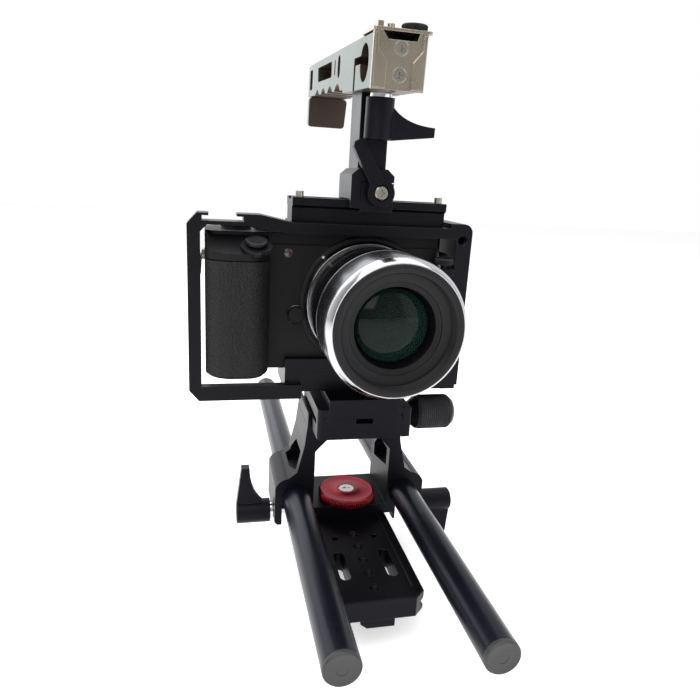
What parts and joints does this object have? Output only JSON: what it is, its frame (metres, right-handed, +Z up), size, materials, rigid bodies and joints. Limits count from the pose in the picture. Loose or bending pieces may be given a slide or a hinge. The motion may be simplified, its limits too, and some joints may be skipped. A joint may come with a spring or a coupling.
{
  "type": "cinema camera rig",
  "caption": "Mirrorless camera with a prime lens in a half cage with a top handle, on a quick-release clamp and riser bridge over two 15 mm rods and a slotted base plate",
  "frame": {"origin": "on the base plate's underside, midway between the two rods", "axes": "+Z up, -Y the way the lens faces, +X to the right of someone facing the lens"},
  "size_m": [0.1462, 0.309, 0.2726],
  "materials": {
    "black_anodised": "fine satin anodised",
    "rod_black": "smooth glossy anodised",
    "grey_plug": "moulded plugs",
    "handle_metal": "satin anodised",
    "nickel": "brushed nickel",
    "chrome": "polished",
    "steel": "turned steel",
    "red_anodised": "knurled red anodised",
    "camera_black": "fine texture paint",
    "grip_rubber": "grained leatherette",
    "dark_knob": "knurled anodised",
    "screen": "glossy screen",
    "soft_rubber": "matt rubber",
    "lens_silver": "fine turned silver",
    "lens_black": "satin anodised barrel",
    "coated_glass": "coated glass",
    "cell": "battery and sensor housings"
  },
  "bodies": {
    "base": {"base_plate": "black_anodised"},
    "bridge": {"riser_bridge": "black_anodised", "qr_clamp_base": "black_anodised", "clamp_screws": "steel"},
    "left_rod": {"rod_left": "rod_black", "rod_left_caps": "grey_plug"},
    "right_rod": {"rod_right": "rod_black", "rod_right_caps": "grey_plug"},
    "left_wing_lever": {"rod_lever_left": "black_anodised", "rod_lever_stud_left": "chrome"},
    "right_wing_lever": {"rod_lever_right": "black_anodised", "rod_lever_stud_right": "chrome"},
    "base_lock": {"lock_knob": "red_anodised", "lock_knob_stud": "steel"},
    "clamp_jaw": {"qr_clamp_jaw": "black_anodised"},
    "clamp_knob": {"qr_knob": "dark_knob", "qr_knob_shaft": "steel"},
    "camera": {"qr_plate": "black_anodised", "camera_screw": "steel", "cage_frame": "black_anodised", "camera_front_shell": "camera_black", "camera_rear_shell": "camera_black", "camera_top_cover": "camera_black", "grip_leather": "grip_rubber", "battery": "cell", "handle_rail": "black_anodised", "rail_screws": "steel", "rail_stop_pins": "steel", "image_sensor": "cell", "mount_ring": "lens_silver", "lens_barrel": "lens_black", "lens_front_ring": "lens_silver", "filter_bezel": "lens_black", "front_element": "coated_glass", "inner_elements": "coated_glass", "viewfinder_cup": "soft_rubber", "strap_eyelets": "steel"},
    "handle": {"handle_foot": "black_anodised", "top_handle": "handle_metal", "handle_face_plate": "nickel", "face_screws": "steel", "shoe_plate": "steel", "handle_tail": "handle_metal"},
    "foot_jaw": {"handle_foot_jaw": "black_anodised"},
    "flat_lever": {"foot_lever": "black_anodised", "foot_lever_screw": "steel"},
    "handle_wing_lever": {"handle_lever": "black_anodised", "handle_lever_stud": "chrome"},
    "shoe_lock": {"shoe_lock_knob": "dark_knob"},
    "cable_clamp": {"cable_clamp_screw": "dark_knob"},
    "shutter": {"shutter_button": "steel"},
    "power": {"power_switch": "camera_black"},
    "front_dial": {"control_dial": "dark_knob"},
    "top_dial": {"mode_dial": "dark_knob"},
    "wheel": {"rear_wheel": "camera_black"},
    "set_key": {"set_button": "camera_black"},
    "screen": {"tilt_screen": "screen"},
    "door": {"battery_door": "camera_black"},
    "release": {"lens_release_button": "camera_black"},
    "focus": {"focus_ring": "lens_black"}
  },
  "joints": [
    {"name": "bridge_slide", "type": "slide", "parent": "base", "child": "bridge", "axis": [0, 1, 0], "range_m": [-0.06, 0]},
    {"name": "left_rod_slide", "type": "slide", "parent": "bridge", "child": "left_rod", "axis": [0, 1, 0], "range_m": [-0.1, 0.1]},
    {"name": "right_rod_slide", "type": "slide", "parent": "bridge", "child": "right_rod", "axis": [0, 1, 0], "range_m": [-0.1, 0.1]},
    {"name": "left_wing_turn", "type": "hinge", "parent": "bridge", "child": "left_wing_lever", "pos_m": [-0.0414, 0.031, 0.0115], "axis": [1, 0, 0], "range_deg": [-360, 0]},
    {"name": "right_wing_turn", "type": "hinge", "parent": "bridge", "child": "right_wing_lever", "pos_m": [0.0414, 0.031, 0.0115], "axis": [-1, 0, 0], "range_deg": [-360, 0]},
    {"name": "base_lock_turn", "type": "hinge", "parent": "bridge", "child": "base_lock", "pos_m": [0, 0.032, 0.016], "axis": [0, 0, 1], "range_deg": [0, 720]},
    {"name": "jaw_slide", "type": "slide", "parent": "bridge", "child": "clamp_jaw", "axis": [1, 0, 0], "range_m": [0, 0.0025]},
    {"name": "clamp_knob_turn", "type": "hinge", "parent": "clamp_jaw", "child": "clamp_knob", "pos_m": [0.025, 0.024, 0.0698], "axis": [1, 0, 0], "range_deg": [0, 600]},
    {"name": "camera_slide", "type": "slide", "parent": "bridge", "child": "camera", "axis": [0, 1, 0], "range_m": [-0.015, 0.02]},
    {"name": "handle_slide", "type": "slide", "parent": "camera", "child": "handle", "axis": [1, 0, 0], "range_m": [-0.0205, 0.0225]},
    {"name": "foot_jaw_slide", "type": "slide", "parent": "handle", "child": "foot_jaw", "axis": [0, -1, 0], "range_m": [0, 0.0008]},
    {"name": "flat_lever_turn", "type": "hinge", "parent": "foot_jaw", "child": "flat_lever", "pos_m": [0.0032, 0.012, 0.1842], "axis": [0, 1, 0], "range_deg": [-75, 0]},
    {"name": "handle_wing_turn", "type": "hinge", "parent": "handle", "child": "handle_wing_lever", "pos_m": [0, 0.01107, 0.22553], "axis": [0, -0.0663, 0.9978], "range_deg": [-200, 0]},
    {"name": "shoe_lock_turn", "type": "hinge", "parent": "handle", "child": "shoe_lock", "pos_m": [0.0076, -0.00698, 0.24838], "axis": [0, -0.0663, 0.9978], "range_deg": [-360, 0]},
    {"name": "cable_clamp_turn", "type": "hinge", "parent": "camera", "child": "cable_clamp", "pos_m": [0.0386, 0.0145, 0.152], "axis": [0, 0, 1], "range_deg": [0, 360]},
    {"name": "shutter_press", "type": "slide", "parent": "camera", "child": "shutter", "axis": [0, 0.3604, -0.9328], "range_m": [0, 0.0008], "stiffness_N_per_m": 500},
    {"name": "power_turn", "type": "hinge", "parent": "camera", "child": "power", "pos_m": [-0.054, 0.0095, 0.15712], "axis": [0, -0.3604, 0.9328], "range_deg": [-35, 0]},
    {"name": "control_dial_turn", "type": "hinge", "parent": "camera", "child": "front_dial", "pos_m": [-0.062, 0.038, 0.1635], "axis": [0, 0, 1], "continuous": true},
    {"name": "mode_dial_turn", "type": "hinge", "parent": "camera", "child": "top_dial", "pos_m": [-0.046, 0.037, 0.1635], "axis": [0, 0, 1], "continuous": true},
    {"name": "rear_wheel_turn", "type": "hinge", "parent": "camera", "child": "wheel", "pos_m": [-0.058, 0.052, 0.124], "axis": [0, 1, 0], "continuous": true},
    {"name": "set_press", "type": "slide", "parent": "camera", "child": "set_key", "axis": [0, -1, 0], "range_m": [0, 0.0004], "stiffness_N_per_m": 500},
    {"name": "screen_tilt", "type": "hinge", "parent": "camera", "child": "screen", "pos_m": [0.0005, 0.05435, 0.1464], "axis": [1, 0, 0], "range_deg": [0, 80]},
    {"name": "battery_door_swing", "type": "hinge", "parent": "camera", "child": "door", "pos_m": [-0.0722, 0.027, 0.0963], "axis": [0, 1, 0], "range_deg": [0, 18]},
    {"name": "lens_release_press", "type": "slide", "parent": "camera", "child": "release", "axis": [0, 1, 0], "range_m": [0, 0.0012], "stiffness_N_per_m": 500},
    {"name": "focus_turn", "type": "hinge", "parent": "camera", "child": "focus", "pos_m": [0.0015, -0.005, 0.13], "axis": [0, 1, 0], "continuous": true}
  ],
  "couplings": [
    {"joint": "clamp_knob_turn", "follows": "jaw_slide", "rad_per_m": 4188.8},
    {"joint": "flat_lever_turn", "follows": "foot_jaw_slide", "rad_per_m": -1636.2}
  ]
}
